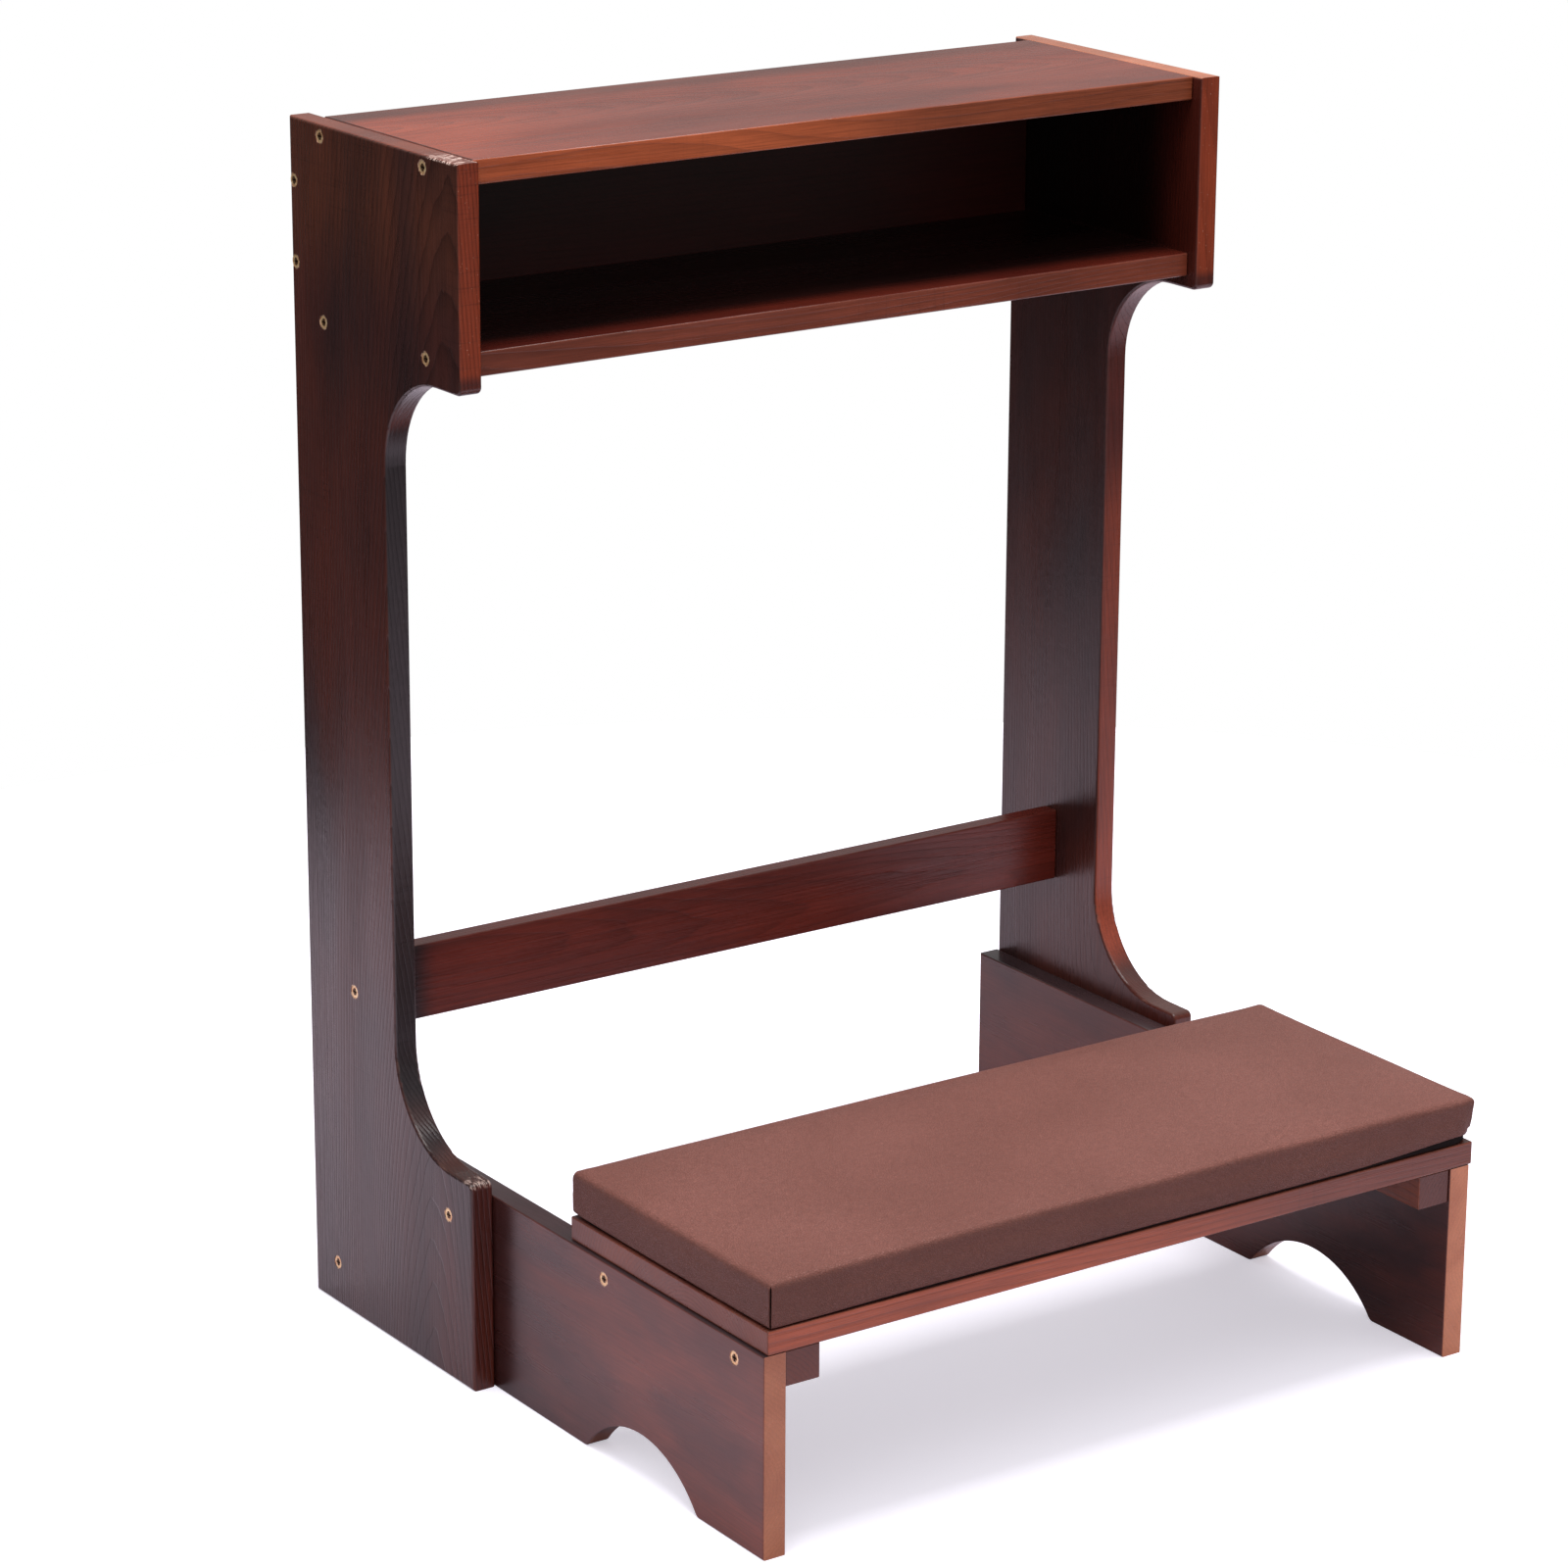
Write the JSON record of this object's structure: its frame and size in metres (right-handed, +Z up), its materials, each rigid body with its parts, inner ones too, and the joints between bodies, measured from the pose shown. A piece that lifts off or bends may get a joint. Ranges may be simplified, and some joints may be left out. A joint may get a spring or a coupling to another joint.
{
  "type": "prayer kneeler",
  "caption": "Wooden prayer kneeler with a flat desk top over an open book compartment, C-shaped uprights, a cross rail and a low padded kneeling board on arched sides.",
  "frame": {"origin": "on the floor, at the middle of the overall width and depth", "axes": "+Z up, front (the kneeling side) towards -Y, +X to the right of someone facing the front"},
  "size_m": [0.655, 0.57, 0.89],
  "materials": {
    "stained_wood": "mahogany stain under satin lacquer",
    "plywood": "raw sanded plywood",
    "foam": "open-cell upholstery foam",
    "vinyl": "matt grained upholstery vinyl",
    "staple_wire": "galvanised wire",
    "brass_plated_screw": "yellow zinc plating, slightly dull"
  },
  "bodies": {
    "root": {"left_upright": "stained_wood", "right_upright": "stained_wood", "desk_top": "stained_wood", "book_shelf": "stained_wood", "back_board": "stained_wood", "cross_rail": "stained_wood", "left_kneeler_side": "stained_wood", "right_kneeler_side": "stained_wood", "kneeling_board": "stained_wood", "left_cleat": "stained_wood", "right_cleat": "stained_wood", "pad_base": "plywood", "pad_foam": "foam", "pad_cover": "vinyl", "pad_staples": "staple_wire", "desk_top_screws": "brass_plated_screw", "book_shelf_screws": "brass_plated_screw", "back_board_screws": "brass_plated_screw", "cross_rail_screws": "brass_plated_screw", "foot_screws": "brass_plated_screw", "cleat_screws": "brass_plated_screw", "kneeling_board_screws": "brass_plated_screw", "pad_screws": "brass_plated_screw"}
  },
  "joints": []
}
